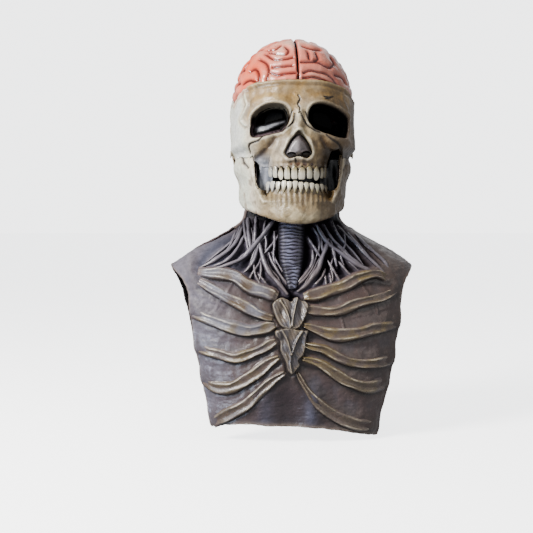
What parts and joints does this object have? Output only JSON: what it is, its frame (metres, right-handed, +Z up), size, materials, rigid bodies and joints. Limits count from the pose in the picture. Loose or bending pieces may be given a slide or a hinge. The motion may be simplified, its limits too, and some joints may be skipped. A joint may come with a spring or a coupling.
{
  "type": "latex halloween mask",
  "caption": "Full-head skull mask with open brain dome, hinged jaw with teeth, neck, and a chest and back bib with raised ribs.",
  "frame": {"origin": "middle of the wearer's head, level with the ear canals", "axes": "+Z up, the face looks along -Y, +X to the wearer's left"},
  "size_m": [0.3697, 0.2337, 0.5924],
  "materials": {
    "bone_latex": "satin latex, ivory with olive-brown wash",
    "cartilage_latex": "satin latex, grey-brown",
    "brain_latex": "satin latex, salmon pink with dark red furrows",
    "tooth_enamel": "semi-gloss, stained ivory",
    "gum_latex": "satin latex, dark red-brown",
    "jaw_latex": "satin latex, yellow-brown ivory",
    "sinew_latex": "glossy latex, grey-lilac",
    "black_mesh": "matt open-weave mesh",
    "foam": "matt charcoal foam",
    "rivet_plastic": "matt black",
    "washer_plastic": "matt natural nylon",
    "elastic": "woven elastic",
    "flesh_latex": "satin latex, mauve-brown",
    "trachea_latex": "glossy latex, blue-grey",
    "rib_latex": "satin latex, bone with ochre wash"
  },
  "bodies": {
    "mask": {"back_bib": "flesh_latex", "back_ribs_left": "rib_latex", "back_ribs_right": "rib_latex", "brain_left": "brain_latex", "brain_right": "brain_latex", "cheek_web_left": "sinew_latex", "cheek_web_right": "sinew_latex", "clavicle_left": "rib_latex", "clavicle_right": "rib_latex", "crown_pad": "foam", "eye_mesh_left": "black_mesh", "eye_mesh_right": "black_mesh", "forehead_pad": "foam", "front_bib": "flesh_latex", "jaw_elastic_left": "elastic", "jaw_elastic_right": "elastic", "jaw_pivot_left": "rivet_plastic", "jaw_pivot_right": "rivet_plastic", "manubrium": "rib_latex", "nape_pad": "foam", "neck_cords_left": "sinew_latex", "neck_cords_right": "sinew_latex", "neck_sleeve": "flesh_latex", "nose_cartilage": "cartilage_latex", "pivot_washer_left": "washer_plastic", "pivot_washer_right": "washer_plastic", "rib_1_left": "rib_latex", "rib_1_right": "rib_latex", "rib_2_left": "rib_latex", "rib_2_right": "rib_latex", "rib_3_left": "rib_latex", "rib_3_right": "rib_latex", "rib_4_left": "rib_latex", "rib_4_right": "rib_latex", "rib_5_left": "rib_latex", "rib_5_right": "rib_latex", "scapula_left": "rib_latex", "scapula_right": "rib_latex", "skull_shell": "bone_latex", "spine": "rib_latex", "sternum_body": "rib_latex", "temple_pad_left": "foam", "temple_pad_right": "foam", "trachea": "trachea_latex", "upper_gum": "gum_latex", "upper_teeth": "tooth_enamel"},
    "jaw": {"lower_jaw": "jaw_latex", "lower_teeth": "tooth_enamel", "lower_gum": "gum_latex", "chin_pad": "foam"}
  },
  "joints": [
    {"name": "jaw_hinge", "type": "hinge", "parent": "mask", "child": "jaw", "pos_m": [0, 0.005, -0.038], "axis": [1, 0, 0], "range_deg": [-1.2, 8.5], "stiffness_Nm_per_rad": 0.8, "deforming": ["jaw_elastic_left", "jaw_elastic_right", "cheek_web_left", "cheek_web_right"]}
  ]
}
